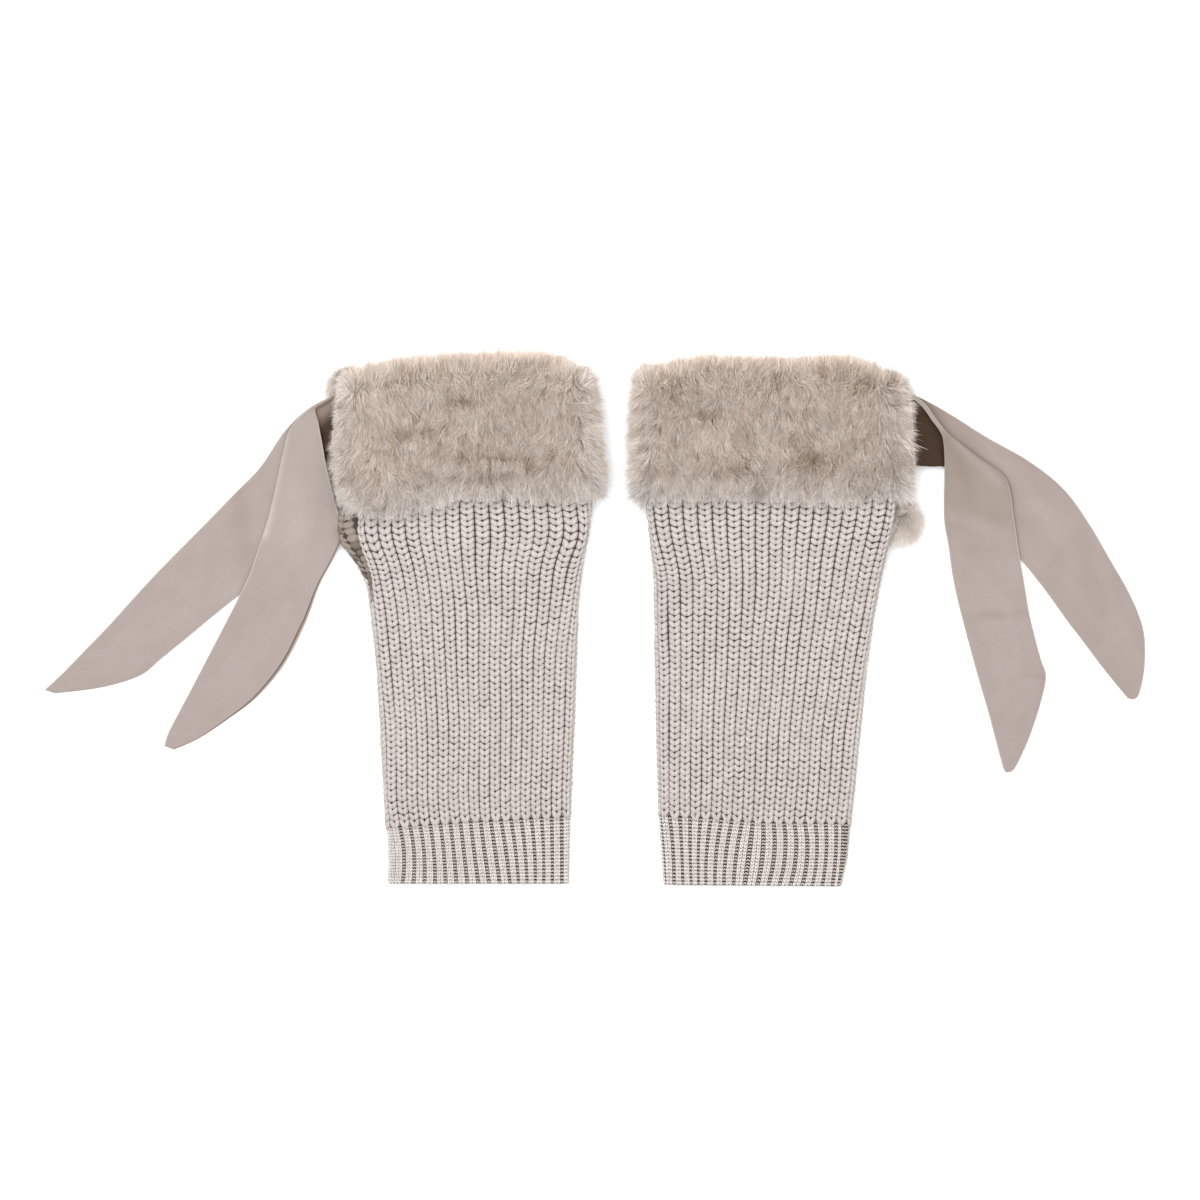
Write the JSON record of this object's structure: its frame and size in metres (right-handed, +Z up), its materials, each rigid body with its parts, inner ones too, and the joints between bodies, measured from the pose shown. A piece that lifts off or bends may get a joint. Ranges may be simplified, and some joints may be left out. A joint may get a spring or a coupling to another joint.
{
  "type": "pair of leg warmers",
  "caption": "Chunky-knit leg warmers laid flat, with ribbed ankles, turned-down faux-fur cuffs, long satin ribbon tails and a fur pompom behind each cuff.",
  "frame": {"origin": "middle of the pair on the surface that it lies on", "axes": "+X from the left leg warmer to the right one, +Y towards the open tops, +Z up"},
  "size_m": [0.7197, 0.3508, 0.0371],
  "materials": {
    "knit": "chunky half-cardigan rib in a plied beige yarn, matte",
    "fur": "short dense faux rabbit fur, soft sheen along the hairs",
    "satin": "matte satin ribbon, two plies with pressed edges"
  },
  "bodies": {
    "root": {"left_leg": "knit", "left_ankle_rib": "knit", "left_fur_cuff": "fur", "left_pompom": "fur", "left_ribbon_back": "satin", "left_ribbon_front": "satin", "right_leg": "knit", "right_ankle_rib": "knit", "right_fur_cuff": "fur", "right_pompom": "fur", "right_ribbon_back": "satin", "right_ribbon_front": "satin"}
  },
  "joints": []
}
